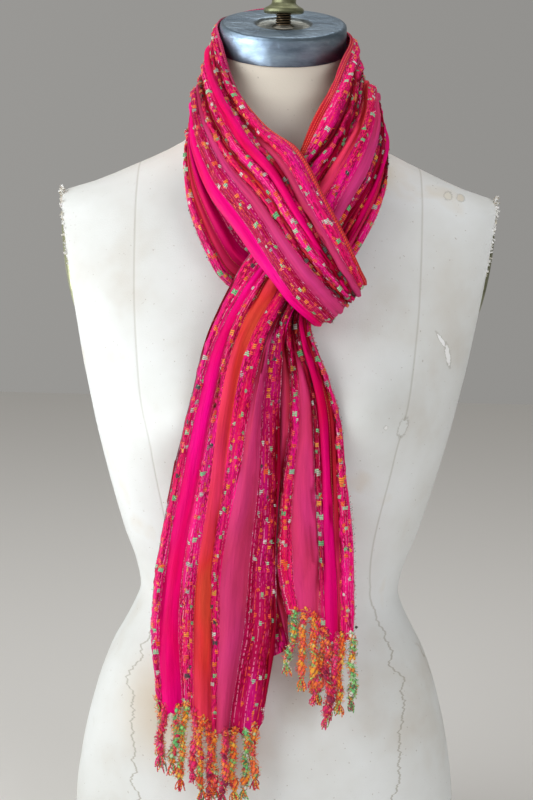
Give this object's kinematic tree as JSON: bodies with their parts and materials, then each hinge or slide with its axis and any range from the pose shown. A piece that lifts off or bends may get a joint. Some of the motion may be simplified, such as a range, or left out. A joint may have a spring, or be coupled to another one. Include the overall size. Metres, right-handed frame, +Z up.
{
  "type": "rayon scarf on a dress form",
  "caption": "Long striped woven scarf with knotted fringes, folded double and looped round the neck of a limbless tabletop dress form with a metal neck cap.",
  "frame": {"origin": "on the flat underside of the dress form, below its neck", "axes": "+Z up, -Y towards the front of the form, +X to the right as seen from the front"},
  "size_m": [0.382, 0.28, 0.78],
  "materials": {
    "form_canvas": "off-white painted canvas, aged and finely cracked",
    "cap_steel": "galvanised sheet steel, dented and dull",
    "rod_steel": "blackened threaded steel",
    "nut_brass": "dull olive brass",
    "plate_brass": "dull olive gold",
    "scarf_cloth": "striped rayon in pink, coral and rose with slubbed bands",
    "fringe_yarn": "twisted slub yarn, orange, pink and green"
  },
  "bodies": {
    "root": {"torso": "form_canvas", "neck_cap": "cap_steel", "threaded_rod": "rod_steel", "clamp_nut": "nut_brass", "arm_plate_left": "plate_brass", "arm_plate_right": "plate_brass", "loop_over_band": "scarf_cloth", "wrap_upper": "scarf_cloth", "drop_upper": "scarf_cloth", "long_tail": "scarf_cloth", "loop_under_band": "scarf_cloth", "wrap_lower": "scarf_cloth", "drop_lower": "scarf_cloth", "short_tail": "scarf_cloth", "long_fringe": "fringe_yarn", "short_fringe": "fringe_yarn"}
  },
  "joints": []
}
